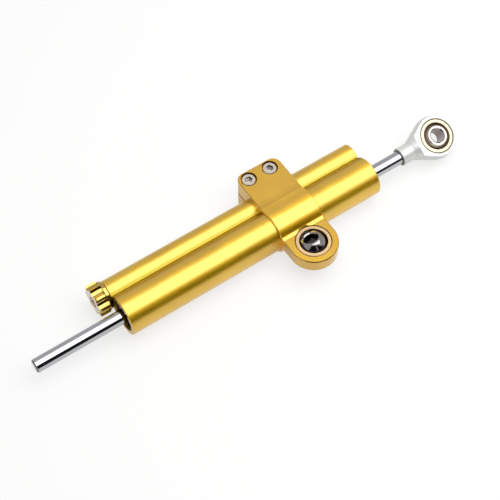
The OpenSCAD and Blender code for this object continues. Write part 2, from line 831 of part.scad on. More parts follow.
// Jaw's outline in the plane across the rod, with the fillets that meet the ring.
module jaw_profile() {
  c = bracket_chamfer;
  polygon([
    [0, -jaw_h], [jaw_reach - c, -jaw_h], [jaw_reach, c - jaw_h],
    [jaw_reach, jaw_h - c], [jaw_reach - c, jaw_h], [0, jaw_h]
  ]);
  ring_fillet(jaw_h, jaw_fillet);
  mirror([0, 1]) ring_fillet(jaw_h, jaw_fillet);
}

// Split bracket: a ring round the main tube, two jaws round the adjuster tube and the lug.
module clamp_bracket() {
  c = bracket_chamfer;
  w = half_w;
  t = lug_t / 2;
  color(gold) on_main_axis() difference() {
    union() {
      ring(-half_w, bracket_w, ring_r, 0, c, c);
      along_x(-half_w, bracket_w) jaw_profile();
      along_x(-half_w, bracket_w) mirror([1, 0]) ring_fillet(lug_top, lug_fillet);
      translate([0, -lug_arm, lug_rise - lug_t / 2]) rotate_extrude() polygon([
        [0, 0], [half_w - c, 0], [half_w, c], [half_w, lug_t - c], [half_w - c, lug_t], [0, lug_t]
      ]);
      translate([0, -lug_arm, lug_rise]) rotate([-90, 0, 0]) linear_extrude(lug_arm) polygon([
        [-w, c - t], [c - w, -t], [w - c, -t], [w, c - t], [w, t - c], [w - c, t], [c - w, t], [-w, t - c]
      ]);
    }
    bore(-half_w - cut, bracket_w + 2 * cut, clamp_bore_r);
    translate([0, tube_pitch, 0]) bore(-half_w - cut, bracket_w + 2 * cut, small_r + clamp_gap);
    translate([-half_w - cut, tube_pitch, -slit_w / 2])
      cube([bracket_w + 2 * cut, jaw_reach, slit_w]);
    translate([0, -lug_arm, lug_rise]) race_hole(lug_t);
    for (side = [-1, 1]) {
      fillet_chamfer(jaw_h, jaw_fillet, side);
      mirror([0, 0, 1]) fillet_chamfer(jaw_h, jaw_fillet, side);
      mirror([0, 1, 0]) fillet_chamfer(lug_top, lug_fillet, side);
      translate([bolt_shift + side * bolt_pitch / 2, bolt_reach, 0]) {
        translate([0, 0, cbore_z]) cylinder(h = jaw_h, r = cbore_r);
        cylinder(h = jaw_h, r = bolt_r + bolt_gap);
        translate([0, 0, bolt_end_z - seat_gap]) cylinder(h = jaw_h, r = bolt_r + seat_gap);
      }
      // Round corners of the jaws, seen from above.
      translate([side * (half_w - jaw_corner), jaw_reach - jaw_corner, -jaw_h - cut])
        rotate(side > 0 ? 0 : 90) difference() {
          cube([jaw_corner + cut, jaw_corner + cut, 2 * (jaw_h + cut)]);
          cylinder(h = 2 * (jaw_h + cut), r = jaw_corner);
        }
      for (up = [0, 1]) mirror([0, 0, up]) {
        translate([side * (half_w - jaw_corner), jaw_reach - jaw_corner, jaw_h])
          rotate(side > 0 ? 0 : 90) rotate_extrude(angle = 90)
            translate([jaw_corner, 0]) chamfer_cut();
        translate([side * half_w, jaw_reach - jaw_corner, jaw_h]) rotate([90, 0, 0])
          linear_extrude(jaw_reach - jaw_corner - fillet_y(jaw_h, jaw_fillet))
            mirror([side > 0 ? 0 : 1, 0]) chamfer_cut();
      }
    }
  }
}

module clamp_bolts() {
  head_r = bolt_head_d / 2;
  color(steel) on_main_axis() for (side = [-1, 1])
    translate([bolt_shift + side * bolt_pitch / 2, bolt_reach, 0]) difference() {
      union() {
        translate([0, 0, cbore_z + seat_gap]) rotate_extrude() polygon([
          [0, 0], [head_r, 0], [head_r, bolt_head_h - bolt_head_chamfer],
          [head_r - bolt_head_chamfer, bolt_head_h], [0, bolt_head_h]
        ]);
        translate([0, 0, bolt_end_z]) cylinder(h = cbore_z - bolt_end_z + 1, r = bolt_r);
      }
      translate([0, 0, cbore_z + bolt_head_h - bolt_socket])
        rotate(side * 11) linear_extrude(bolt_socket + cut) hexagon(bolt_af);
    }
}

module bracket_race() {
  color(pale_gold) race();
}

module bracket_ball() {
  color(bright) rotate([0, 0, ball_lean_dir]) rotate([0, ball_lean, 0]) swivel_ball();
}

body_tubes();
left_gland();
right_gland();
gland_o_rings();
rod_seals();
rod_wipers();
guide_bushes();
gland_circlips();
adjuster_plug();
adjuster_plug_o_ring();
spindle_o_ring();
needle_guide_pin();
valve_seat();
end_plug();
end_plug_o_ring();
adjuster_knob();
valve_spindle();
knob_screw();
detent_ball();
detent_spring();
metering_needle();
needle_o_ring();
piston_ring();
piston_rod();
piston();
piston_clips();
piston_ring_o_ring();
rod_end_housing();
rod_end_race();
rod_end_ball();
clamp_bracket();
clamp_bolts();
bracket_race();
bracket_ball();
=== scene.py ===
import math

import bpy
from mathutils import Matrix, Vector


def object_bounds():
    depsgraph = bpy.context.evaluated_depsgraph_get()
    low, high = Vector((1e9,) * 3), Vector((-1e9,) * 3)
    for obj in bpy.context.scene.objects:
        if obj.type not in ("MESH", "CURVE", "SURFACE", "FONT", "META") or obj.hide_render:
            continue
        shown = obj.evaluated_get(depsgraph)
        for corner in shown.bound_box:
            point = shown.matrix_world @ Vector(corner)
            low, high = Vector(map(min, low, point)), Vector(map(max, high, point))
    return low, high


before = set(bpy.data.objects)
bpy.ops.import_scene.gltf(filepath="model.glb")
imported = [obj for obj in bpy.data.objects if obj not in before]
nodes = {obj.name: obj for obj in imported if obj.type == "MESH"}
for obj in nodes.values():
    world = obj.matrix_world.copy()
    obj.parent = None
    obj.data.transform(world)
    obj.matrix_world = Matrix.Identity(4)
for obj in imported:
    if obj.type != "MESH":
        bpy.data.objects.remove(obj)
cadBox = [list(corner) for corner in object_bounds()]
scene = bpy.context.scene
scene.view_settings.view_transform = "Standard"
print("frame loaded:", len(nodes), "parts")


# small helpers

ringPeriod = 0.31416       # rings of a wave texture at scale 1 are this far apart
grainSpan = (0.3, 0.7)     # a grain pattern keeps mostly between these values
cloudSpan = (0.35, 0.65)   # and a cloudy one between these
fineGrain = {"Detail": 4.0, "Roughness": 0.6}
bumpStrength = 0.5


def srgb(code):
    # hex colour as seen on a screen, to the linear values that shaders take
    parts = [int(code[i:i + 2], 16) / 255 for i in (1, 3, 5)]
    linear = [p / 12.92 if p <= 0.04045 else ((p + 0.055) / 1.055) ** 2.4 for p in parts]
    return (*linear, 1.0)


def perMetre(millimetres):
    # texture scale at which one feature is this many millimetres across
    return 1000.0 / millimetres


def addNode(tree, kind, links=None, values=None, **settings):
    # one node: settings are its properties, values fill its sockets, links feed them
    node = tree.nodes.new(kind)
    for name, value in settings.items():
        setattr(node, name, value)
    for socket, value in (values or {}).items():
        node.inputs[socket].default_value = value
    for socket, source in (links or {}).items():
        tree.links.new(source, node.inputs[socket])
    return node


def newMaterial(name, sockets):
    # a material with one Principled shader, whose even values sit on its own sockets
    material = bpy.data.materials.new(name)
    material.use_nodes = True
    tree = material.node_tree
    tree.nodes.clear()
    shader = addNode(tree, "ShaderNodeBsdfPrincipled", values=sockets)
    addNode(tree, "ShaderNodeOutputMaterial", {"Surface": shader.outputs["BSDF"]})
    return material, tree, shader


def zoneMask(tree, coords, zone):
    # 1 inside a tube-shaped zone about an axis: mm from the axis, and mm along it
    moved = addNode(tree, "ShaderNodeVectorMath", {0: coords.outputs["Object"]},
                    {1: zone["centre"]}, operation="SUBTRACT")
    across = addNode(tree, "ShaderNodeVectorMath", {0: moved.outputs["Vector"]},
                     {1: zone["axis"]}, operation="CROSS_PRODUCT")
    away = addNode(tree, "ShaderNodeVectorMath", {0: across.outputs["Vector"]}, operation="LENGTH")
    along = addNode(tree, "ShaderNodeVectorMath", {0: moved.outputs["Vector"]},
                    {1: zone["axis"]}, operation="DOT_PRODUCT")
    masks = []
    for source, (low, high) in ((away, zone["away"]), (along, zone["along"])):
        middle, half = (low + high) / 2, (high - low) / 2
        inside = addNode(tree, "ShaderNodeMath", {0: source.outputs["Value"]},
                         {1: middle / 1000, 2: half / 1000}, operation="COMPARE")
        masks.append(inside.outputs["Value"])
    both = addNode(tree, "ShaderNodeMath", {0: masks[0], 1: masks[1]}, operation="MULTIPLY")
    return both.outputs["Value"]


def layTones(tree, colour, tones):
    # lays tones over a colour, each where its mask is 1
    for mask, tone in tones:
        laid = addNode(tree, "ShaderNodeMix", {0: mask, 6: colour}, {7: srgb(tone)},
                       data_type="RGBA")
        colour = laid.outputs[2]
    return colour


def unevenDye(tree, coords, look):
    # the dye's two tones, in soft patches
    cloud = addNode(tree, "ShaderNodeTexNoise", {"Vector": coords.outputs["Object"]},
                    {"Scale": perMetre(look["cloud"]), "Detail": 2.0})
    spread = addNode(tree, "ShaderNodeMapRange", {"Value": cloud.outputs["Fac"]},
                     {"From Min": cloudSpan[0], "From Max": cloudSpan[1]})
    dye = addNode(tree, "ShaderNodeMix", {0: spread.outputs["Result"]},
                  {6: srgb(look["light"]), 7: srgb(look["deep"])}, data_type="RGBA")
    return dye.outputs[2]


def metalTone(tree, coords, grain, look):
    # a metal's two tones in its grain, and the tones of its small zones, such as seams and bores
    metal = addNode(tree, "ShaderNodeMix", {0: grain.outputs["Fac"]},
                    {6: srgb(look["light"]), 7: srgb(look["deep"])}, data_type="RGBA")
    zones = [(zoneMask(tree, coords, zone), zone["tone"]) for zone in look.get("zones", [])]
    return layTones(tree, metal.outputs[2], zones)


def finishSurface(tree, shader, pattern, span, look, rougher=None):
    # roughness and relief that follow one pattern; rougher is a mask, and what it adds
    low, high = look["roughness"]
    gloss = addNode(tree, "ShaderNodeMapRange", {"Value": pattern},
                    {"From Min": span[0], "From Max": span[1], "To Min": low, "To Max": high})
    rough = gloss.outputs["Result"]
    if rougher:
        added = addNode(tree, "ShaderNodeMath", {0: rougher[0], 2: rough}, {1: rougher[1]},
                        operation="MULTIPLY_ADD")
        rough = added.outputs["Value"]
    tree.links.new(rough, shader.inputs["Roughness"])
    bump = addNode(tree, "ShaderNodeBump", {"Height": pattern},
                   {"Strength": bumpStrength, "Distance": look["depth"] / 1000})
    tree.links.new(bump.outputs["Normal"], shader.inputs["Normal"])


def wear(names, material):
    # dresses parts from the model in a material; their meshes stay as they are
    for name in names:
        slots = nodes[name].data.materials
        slots.clear()
        slots.append(material)


# places that finishes use, in metres unless another unit is named

mainCentre = (0.0, 0.02192, -0.00225)        # a point on the main tube's axis
rodTip = (-0.164, *mainCentre[1:])           # and others on the same axis
shankMouth = (0.0768, *mainCentre[1:])
rodEndCentre = (0.10265, *mainCentre[1:])
adjusterCentre = (0.0, 0.03842, -0.00225)    # a point on the adjuster tube's axis
rodEndTurn = math.radians(27.8)              # how far the rod end is turned about the rod
rodEndBore = {"centre": rodEndCentre, "axis": (0.0, -math.sin(rodEndTurn), math.cos(rodEndTurn))}
bracketBore = {"centre": (0.0, 0.0, 0.0), "axis": (0.0, 0.0, 1.0)}
raceDepth = (-6, 6)                          # mm along a bearing's bore, past its race's ends


# satin anodised tubes: extruded aluminium, blasted and dyed gold, with a broad pale highlight

tubeLook = {
    "light": "#e2b512",              # where the dye is thin
    "deep": "#d9ab0e",               # where it took deeper
    "edge": "#fff6c4",               # grazing light passes more dye, so it stays golden
    "roughness": (0.36, 0.44),
    "grain": 0.5,                    # mm; the blast is nearer 0.08 mm, drawn coarser so it shows
    "drawn": 9.0,                    # grain is this much longer along the tube, from extrusion
    "cloud": 18.0,                   # mm, size of the faint patches of dye
    "depth": 0.009,                  # mm of relief
    "film": 1.0,                     # clear sealed film, which makes the highlight pale
    "filmRoughness": 0.2,
    "filmIor": 1.76,                 # alumina
    # the valley between the tubes: its bottom line, and widths in mm from it, full and faded out
    "valleyLine": (0.0325, 0.0025),  # m across and up
    "valleySides": (0.6, -0.2),      # mm across: the small tube's side, and the main tube's
    "valleyShade": "#836804",             # painted shade on the main tube's side of the crease
    "valleyShadeWidth": (4.0, 9.0),
    "valleyShadeFilm": 0.1,               # the film is thinned there too, as part of the painted shade
    "lip": "#ffec5c",                # painted highlight on the small tube's side of the crease
    "lipWidth": (1.2, 2.6),
    "lipRougher": 0.3,               # and a rougher surface, so the highlight runs to the line
    "corner": "#8f7010",             # painted shade in the sharp corner
    "cornerWidth": (0.2, 0.7),
}


def satinAnodised(name, look):
    material, tree, shader = newMaterial(name, {
        "Metallic": 1.0,
        "Specular Tint": srgb(look["edge"]),
        "Coat Roughness": look["filmRoughness"],
        "Coat IOR": look["filmIor"],
    })
    coords = addNode(tree, "ShaderNodeTexCoord")
    drawn = addNode(tree, "ShaderNodeMapping", {"Vector": coords.outputs["Object"]},
                    {"Scale": (1.0 / look["drawn"], 1.0, 1.0)})
    grain = addNode(tree, "ShaderNodeTexNoise", {"Vector": drawn.outputs["Vector"]},
                    {"Scale": perMetre(look["grain"]), **fineGrain})
    across, up = look["valleyLine"]
    flat = addNode(tree, "ShaderNodeMapping", {"Vector": coords.outputs["Object"]},
                   {"Location": (0.0, -across, -up), "Scale": (0.0, 1.0, 1.0)})
    away = addNode(tree, "ShaderNodeVectorMath", {0: flat.outputs["Vector"]}, operation="LENGTH")
    near = {}
    for part in ("valleyShade", "lip", "corner"):
        full, gone = look[part + "Width"]
        band = addNode(tree, "ShaderNodeMapRange", {"Value": away.outputs["Value"]},
                       {"From Min": gone / 1000, "From Max": full / 1000},
                       interpolation_type="SMOOTHSTEP")
        near[part] = band.outputs["Result"]
    small, main = look["valleySides"]
    axes = addNode(tree, "ShaderNodeSeparateXYZ", {"Vector": flat.outputs["Vector"]})
    mainSide = addNode(tree, "ShaderNodeMapRange", {"Value": axes.outputs["Y"]},
                       {"From Min": small / 1000, "From Max": main / 1000})
    smallSide = addNode(tree, "ShaderNodeMath", {1: mainSide.outputs["Result"]}, {0: 1.0},
                        operation="SUBTRACT")
    # painted shade: the main tube's side of the crease is darkened
    valleyShade = addNode(tree, "ShaderNodeMath", {0: near["valleyShade"], 1: mainSide.outputs["Result"]},
                     operation="MULTIPLY").outputs["Value"]
    # painted highlight: the small tube's side of the crease is paled
    lip = addNode(tree, "ShaderNodeMath", {0: near["lip"], 1: smallSide.outputs["Value"]},
                  operation="MULTIPLY").outputs["Value"]
    # the corner line is painted shade as well
    tones = [(valleyShade, look["valleyShade"]), (lip, look["lip"]), (near["corner"], look["corner"])]
    tree.links.new(layTones(tree, unevenDye(tree, coords, look), tones),
                   shader.inputs["Base Color"])
    # the painted shade also thins the film
    film = addNode(tree, "ShaderNodeMapRange", {"Value": valleyShade},
                   {"To Min": look["film"], "To Max": look["valleyShadeFilm"]})
    tree.links.new(film.outputs["Result"], shader.inputs["Coat Weight"])
    finishSurface(tree, shader, grain.outputs["Fac"], grainSpan, look, (lip, look["lipRougher"]))
    return material


wear(["body_tubes", "end_plug"], satinAnodised("SatinGoldAnodisedTube", tubeLook))
print("tubes dressed")


# milled and anodised bracket: flat faces keep faint arcs of the face mill

bracketLook = {
    "light": "#f1bd18",
    "deep": "#e9b412",
    "edge": "#fff6c4",
    "roughness": (0.34, 0.4),
    "smoother": 0.17,                # the milled flats are this much less rough than the ring
    "grain": 0.6,                    # mm
    "cloud": 12.0,                   # mm
    "arc": 0.9,                      # mm between the cutter's arcs
    "arcWobble": 1.2,
    "arcShare": 0.35,                # how much the arcs count beside the grain
    "cutterCentre": (0.012, -0.09, 0.0),   # m, where the arcs are centred
    "span": (0.3, 1.0),              # what arcs and grain add up to
    "depth": 0.004,                  # mm
    "film": 1.0,
    "filmRoughness": 0.12,
    "filmIor": 1.76,
    # beyond the turned ring the colour is darkened as painted shade: a little on the level flats,
    # more on the sides
    "beyond": {"centre": mainCentre, "axis": (1, 0, 0), "away": (14.3, 60), "along": (-20, 20)},
    "level": 0.95,                   # how nearly a flat faces up
    "flatShadeTone": "#f3f1ef",
    "sideShadeTone": "#d6d4d1",
    # dark seam where the race is pressed in
    "seam": {**bracketBore, "away": (9.9, 10.4), "along": raceDepth, "tone": "#4a3410"},
}


def milledAnodised(name, look):
    material, tree, shader = newMaterial(name, {
        "Metallic": 1.0,
        "Specular Tint": srgb(look["edge"]),
        "Coat Weight": look["film"],
        "Coat Roughness": look["filmRoughness"],
        "Coat IOR": look["filmIor"],
    })
    coords = addNode(tree, "ShaderNodeTexCoord")
    centred = addNode(tree, "ShaderNodeMapping", {"Vector": coords.outputs["Object"]},
                      {"Location": [-c for c in look["cutterCentre"]]})
    arcs = addNode(tree, "ShaderNodeTexWave", {"Vector": centred.outputs["Vector"]},
                   {"Scale": ringPeriod * perMetre(look["arc"]), "Distortion": look["arcWobble"],
                    "Detail": 1.0, "Detail Scale": 0.6},
                   wave_type="RINGS", rings_direction="Z")
    grain = addNode(tree, "ShaderNodeTexNoise", {"Vector": coords.outputs["Object"]},
                    {"Scale": perMetre(look["grain"]), **fineGrain})
    beyond = zoneMask(tree, coords, look["beyond"])
    facing = addNode(tree, "ShaderNodeSeparateXYZ", {"Vector": coords.outputs["Normal"]})
    level = addNode(tree, "ShaderNodeMath", {0: facing.outputs["Z"]}, {1: look["level"]},
                    operation="GREATER_THAN")
    # painted shade: the sides take a darker tone than the flats that face up
    shade = addNode(tree, "ShaderNodeMix", {0: level.outputs["Value"]},
                    {6: srgb(look["sideShadeTone"]), 7: srgb(look["flatShadeTone"])}, data_type="RGBA")
    deeper = addNode(tree, "ShaderNodeMix",
                     {0: beyond, 6: unevenDye(tree, coords, look), 7: shade.outputs[2]},
                     data_type="RGBA", blend_type="MULTIPLY")
    seam = (zoneMask(tree, coords, look["seam"]), look["seam"]["tone"])
    tree.links.new(layTones(tree, deeper.outputs[2], [seam]), shader.inputs["Base Color"])
    both = addNode(tree, "ShaderNodeMath", {0: arcs.outputs["Fac"], 2: grain.outputs["Fac"]},
                   {1: look["arcShare"]}, operation="MULTIPLY_ADD")
    flat = addNode(tree, "ShaderNodeMath", {0: beyond, 1: level.outputs["Value"]},
                   operation="MULTIPLY")
    finishSurface(tree, shader, both.outputs["Value"], look["span"], look,
                  (flat.outputs["Value"], -look["smoother"]))
    return material


wear(["clamp_bracket"], milledAnodised("MilledGoldAnodisedBracket", bracketLook))
print("bracket dressed")


# turned metals: rings of the lathe tool about each part's own axis

mainAxis = {"centre": mainCentre, "turn": 0.0, "rings": "X"}
adjusterAxis = {"centre": adjusterCentre, "turn": 0.0, "rings": "X"}
bracketAxis = {"centre": bracketBore["centre"], "turn": 0.0, "rings": "Z"}
rodEndAxis = {"centre": rodEndCentre, "turn": -rodEndTurn, "rings": "Z"}

# the same for all of them
lathe = {
    "grain": 0.7,                    # mm
    "ringWobble": 0.6,
    "ringShare": 0.5,                # how much the rings count beside the grain
    "span": (0.3, 1.1),              # what rings and grain add up to
    "filmRoughness": 0.08,
    "filmIor": 1.6,
}

# ring is the tool's feed and depth the relief, both in mm
turnedLooks = {
    # bright dip-polished and dyed: sharp reflections, so lands flash cream and flutes go dark
    "PolishedGoldAnodisedKnob": {
        "parts": ["adjuster_knob"], "axis": adjusterAxis, "light": "#c9ab45", "deep": "#af8c30",
        "roughness": (0.09, 0.15), "ring": 0.7, "depth": 0.003, "film": 1.0},
    # clear aluminium straight off the lathe: soft grey with visible rings
    "TurnedAluminium": {
        "parts": ["left_gland", "right_gland", "piston"], "axis": mainAxis,
        "light": "#ebebec", "deep": "#d9dadc",
        "roughness": (0.36, 0.48), "ring": 0.55, "depth": 0.006},
    # the same, cut finer and a little greyer
    "TurnedAluminiumAdjuster": {
        "parts": ["adjuster_plug", "valve_seat"], "axis": adjusterAxis,
        "light": "#d3d4d6", "deep": "#bfc1c4",
        "roughness": (0.28, 0.4), "ring": 0.45, "depth": 0.006},
    # turned pale brass with a soft sheen, darker inside the mouth
    "TurnedBrassRaceBracket": {
        "parts": ["bracket_race"], "axis": bracketAxis, "light": "#e6c698", "deep": "#d5b07e",
        "roughness": (0.2, 0.3), "ring": 0.5, "depth": 0.004,
        "zones": [{**bracketBore, "away": (0, 8.08), "along": raceDepth, "tone": "#54473e"}]},
    # the same brass in a paler batch, with a dull seam where it is pressed in
    "TurnedBrassRaceRodEnd": {
        "parts": ["rod_end_race"], "axis": rodEndAxis, "light": "#d8d19f", "deep": "#cdc697",
        "roughness": (0.2, 0.3), "ring": 0.5, "depth": 0.004,
        "zones": [{**rodEndBore, "away": (0, 8.4), "along": raceDepth, "tone": "#8b7e71"},
                  {**rodEndBore, "away": (9.65, 10.2), "along": raceDepth, "tone": "#9a9382"}]},
    # sintered bronze bushes: brown-gold, matt
    "SinteredBronze": {
        "parts": ["guide_bushes"], "axis": mainAxis, "light": "#b88a54", "deep": "#9a6f3f",
        "roughness": (0.42, 0.55), "ring": 0.5, "depth": 0.01},
}


def turnedMetal(name, look):
    material, tree, shader = newMaterial(name, {
        "Metallic": 1.0,
        "Coat Weight": look.get("film", 0.0),
        "Coat Roughness": lathe["filmRoughness"],
        "Coat IOR": lathe["filmIor"],
    })
    axis = look["axis"]
    coords = addNode(tree, "ShaderNodeTexCoord")
    centred = addNode(tree, "ShaderNodeMapping", {"Vector": coords.outputs["Object"]},
                      {"Location": [-c for c in axis["centre"]]})
    turned = addNode(tree, "ShaderNodeMapping", {"Vector": centred.outputs["Vector"]},
                     {"Rotation": (axis["turn"], 0.0, 0.0)})
    rings = addNode(tree, "ShaderNodeTexWave", {"Vector": turned.outputs["Vector"]},
                    {"Scale": ringPeriod * perMetre(look["ring"]),
                     "Distortion": lathe["ringWobble"], "Detail": 1.0},
                    wave_type="RINGS", rings_direction=axis["rings"])
    grain = addNode(tree, "ShaderNodeTexNoise", {"Vector": coords.outputs["Object"]},
                    {"Scale": perMetre(lathe["grain"]), "Detail": 3.0})
    tree.links.new(metalTone(tree, coords, grain, look), shader.inputs["Base Color"])
    both = addNode(tree, "ShaderNodeMath", {0: rings.outputs["Fac"], 2: grain.outputs["Fac"]},
                   {1: lathe["ringShare"]}, operation="MULTIPLY_ADD")
    finishSurface(tree, shader, both.outputs["Value"], lathe["span"], look)
    return material


for name, look in turnedLooks.items():
    wear(look["parts"], turnedMetal(name, look))
print("turned parts dressed")


# ground, plated and blasted metals, and rubber: fine grain without rings

boltHeads = [(x, 0.05172, 0.00835) for x in (-0.00795, 0.00635)]    # m, middles of their faces
ballBore = {"centre": bracketBore["centre"], "axis": (-0.0984, 0.3947, 0.9135)}  # it leans
ballDepth = (-8, 8)    # mm along a ball's bore, past its flats

# mm below a bolt's face, and what is painted in its socket there: shade on the wall and its rim, a
# highlight on the floor
socketShadeAndHighlight = [((-2.4, -0.8), "#4a423d"), ((-0.8, -0.05), "#38312d"), ((-2.6, -2.4), "#fffaf4")]

# grain and depth are in mm; metal is 1 where it isn't given
groundLooks = {
    # hard chrome over ground steel: mirror with faint grinding bands round the rod
    "HardChromeRod": {
        "parts": ["piston_rod"], "light": "#babbbf", "deep": "#b0b2b6",
        "roughness": (0.05, 0.09), "grain": 0.6, "stretch": (1.0, 0.02, 0.02), "depth": 0.0006,
        # darker chamfer at the tip, which outlines it
        "zones": [{"centre": rodTip, "axis": (1, 0, 0),
                   "away": (3.1, 3.95), "along": (-0.2, 0.79), "tone": "#6d6c6e"}]},
    # hardened and lapped balls: dark mirror steel, darker still in the bore
    "LappedSteelBracketBall": {
        "parts": ["bracket_ball"], "light": "#a19e9c", "deep": "#93908e",
        "roughness": (0.05, 0.1), "grain": 0.8, "depth": 0.0005,
        "zones": [{**ballBore, "away": (0, 4.1), "along": ballDepth, "tone": "#3b3536"}]},
    "LappedSteelRodEndBall": {
        "parts": ["rod_end_ball"], "light": "#b9b1a9", "deep": "#aca49b",
        "roughness": (0.05, 0.1), "grain": 0.8, "depth": 0.0005,
        "zones": [{**rodEndBore, "away": (0, 4.1), "along": ballDepth, "tone": "#97898a"}]},
    # ground valve parts: bright steel
    "GroundValveSteel": {
        "parts": ["valve_spindle", "needle_guide_pin", "detent_ball", "metering_needle"],
        "light": "#cfcdca", "deep": "#c2c0bd",
        "roughness": (0.08, 0.16), "grain": 0.8, "depth": 0.0005},
    # blasted, clear-anodised aluminium: near white and soft, as its fine pits scatter like paper
    "BlastedAluminiumRodEnd": {
        "parts": ["rod_end_housing"], "light": "#dcdcdb", "deep": "#d0d0cf", "metal": 0.45,
        "roughness": (0.4, 0.5), "grain": 0.5, "depth": 0.006,
        # dark seam where the race is pressed in, and painted shade on the chamfer round the
        # shank's mouth
        "zones": [{**rodEndBore, "away": (9.9, 10.5), "along": raceDepth, "tone": "#857c72"},
                  {"centre": shankMouth, "axis": (1, 0, 0),
                   "away": (0, 6), "along": (-1, 0.25), "tone": "#807a76"}]},
    # zinc-plated steel screws and click spring: warm pale grey, painted shade and highlight in the
    # sockets
    "ZincPlatedSteel": {
        "parts": ["clamp_bolts", "knob_screw", "detent_spring"],
        "light": "#ded3c8", "deep": "#c9beb4",
        "roughness": (0.2, 0.34), "grain": 0.6, "depth": 0.004,
        # painted shade on each socket's wall and rim, and a painted highlight on its floor
        "zones": [{"centre": head, "axis": (0, 0, 1), "away": (0, 2.4), "along": heights,
                   "tone": tone} for head in boltHeads for heights, tone in socketShadeAndHighlight]},
    # phosphated spring steel clips: warm black, so the tube's end shows a dark line
    "PhosphatedSpringSteel": {
        "parts": ["gland_circlips", "piston_clips"], "light": "#40352f", "deep": "#322924",
        "roughness": (0.3, 0.45), "grain": 0.5, "depth": 0.004},
    # nitrile rubber rings and lips: black, matt
    "NitrileRubber": {
        "parts": ["gland_o_rings", "rod_seals", "rod_wipers", "adjuster_plug_o_ring",
                  "spindle_o_ring", "end_plug_o_ring", "needle_o_ring", "piston_ring_o_ring"],
        "light": "#232324", "deep": "#171718", "metal": 0.0,
        "roughness": (0.5, 0.7), "grain": 0.4, "depth": 0.02},
    # filled slide ring: cream, waxy
    "CreamSlideRing": {
        "parts": ["piston_ring"], "light": "#e9e1cd", "deep": "#dbd1b8", "metal": 0.0,
        "roughness": (0.4, 0.55), "grain": 0.6, "depth": 0.008},
}


def groundMetal(name, look):
    material, tree, shader = newMaterial(name, {"Metallic": look.get("metal", 1.0)})
    coords = addNode(tree, "ShaderNodeTexCoord")
    mapped = addNode(tree, "ShaderNodeMapping", {"Vector": coords.outputs["Object"]},
                     {"Scale": look.get("stretch", (1.0, 1.0, 1.0))})
    grain = addNode(tree, "ShaderNodeTexNoise", {"Vector": mapped.outputs["Vector"]},
                    {"Scale": perMetre(look["grain"]), **fineGrain})
    tree.links.new(metalTone(tree, coords, grain, look), shader.inputs["Base Color"])
    finishSurface(tree, shader, grain.outputs["Fac"], grainSpan, look)
    return material


for name, look in groundLooks.items():
    wear(look["parts"], groundMetal(name, look))
print("ground and plated parts dressed")


# floor and studio

def lensRays(tree):
    # the rays' node, and 1 for what the lens sees, straight or through glass
    rays = addNode(tree, "ShaderNodeLightPath")
    lens = addNode(tree, "ShaderNodeMath",
                   {0: rays.outputs["Is Camera Ray"], 1: rays.outputs["Is Transmission Ray"]},
                   operation="MAXIMUM")
    return rays, lens.outputs["Value"]


floorLook = {
    "size": 6.0,                     # m
    "drop": 0.0001,                  # m below the lowest point of the part
    "colour": "#f4f4f2",
    "shown": 0.72,                   # how much of plain white the lens sees over the lit floor
    "mirrored": 0.42,                # and how much the metal sees
    "far": (0.03, 0.1),              # m: behind the part a painted shadow greys the paper as the metal sees it,
    "farLevel": 0.45,                # down to this
}


def makeFloor(look):
    # plain matt paper: white to the lens but for the part's shadow, and greyer in the metal, with
    # a painted shadow there behind the part
    bpy.ops.object.select_all(action="DESELECT")
    bpy.ops.mesh.primitive_plane_add(size=look["size"],
                                     location=(0, 0, cadBox[0][2] - look["drop"]))
    floor = bpy.context.object
    floor.name = "studio_floor"
    bpy.ops.object.transform_apply(location=True, rotation=True, scale=True)
    material = bpy.data.materials.new("PaperFloor")
    material.use_nodes = True
    tree = material.node_tree
    tree.nodes.clear()
    paper = addNode(tree, "ShaderNodeBsdfDiffuse", values={"Color": srgb(look["colour"])})
    coords = addNode(tree, "ShaderNodeTexCoord")
    axes = addNode(tree, "ShaderNodeSeparateXYZ", {"Vector": coords.outputs["Object"]})
    # painted shadow: the paper glows dimmer in the metal behind the part
    far = addNode(tree, "ShaderNodeMapRange", {"Value": axes.outputs["Y"]},
                  {"From Min": look["far"][0], "From Max": look["far"][1],
                   "To Min": 1.0, "To Max": look["farLevel"]}, interpolation_type="SMOOTHSTEP")
    rays, lens = lensRays(tree)
    strength = addNode(tree, "ShaderNodeMix",
                       {0: rays.outputs["Is Glossy Ray"], 3: far.outputs["Result"]}, {2: 1.0},
                       data_type="FLOAT")
    white = addNode(tree, "ShaderNodeEmission", {"Strength": strength.outputs[0]},
                    {"Color": (1, 1, 1, 1)})
    shown = addNode(tree, "ShaderNodeMath", {0: lens}, {1: look["shown"]}, operation="MULTIPLY")
    share = addNode(tree, "ShaderNodeMath",
                    {0: rays.outputs["Is Glossy Ray"], 2: shown.outputs["Value"]},
                    {1: look["mirrored"]}, operation="MULTIPLY_ADD")
    mix = addNode(tree, "ShaderNodeMixShader", {0: share.outputs["Value"],
                                                1: paper.outputs["BSDF"],
                                                2: white.outputs["Emission"]})
    addNode(tree, "ShaderNodeOutputMaterial", {"Surface": mix.outputs["Shader"]})
    floor.data.materials.append(material)


# heights and places in the room are parts of a direction of length 1
roomLook = {
    "wall": 0.67,                    # grey of the walls
    "ceiling": 0.82,                 # and of the ceiling round the lamp
    "ceilingHeights": (0.6, 0.82),   # it brightens between these heights
    "fill": 0.8,                     # how strongly the room lights matt surfaces
    "gap": 0.015,                    # grey of the dark opening on the near side
    "gapNear": (-0.2, -0.5),         # it fades in from here to here
    "gapLean": 1.08,                 # and reaches higher on the left
    "gapTop": (0.97, 0.89),          # its soft upper edge
    "pillar": -0.05,                 # a paler pillar stands in it, here
    "pillarHalf": (0.07, 0.12),      # half its width: full, and faded out
    "pillarGap": 0.4,                # how much of the opening's dark shows on it
}


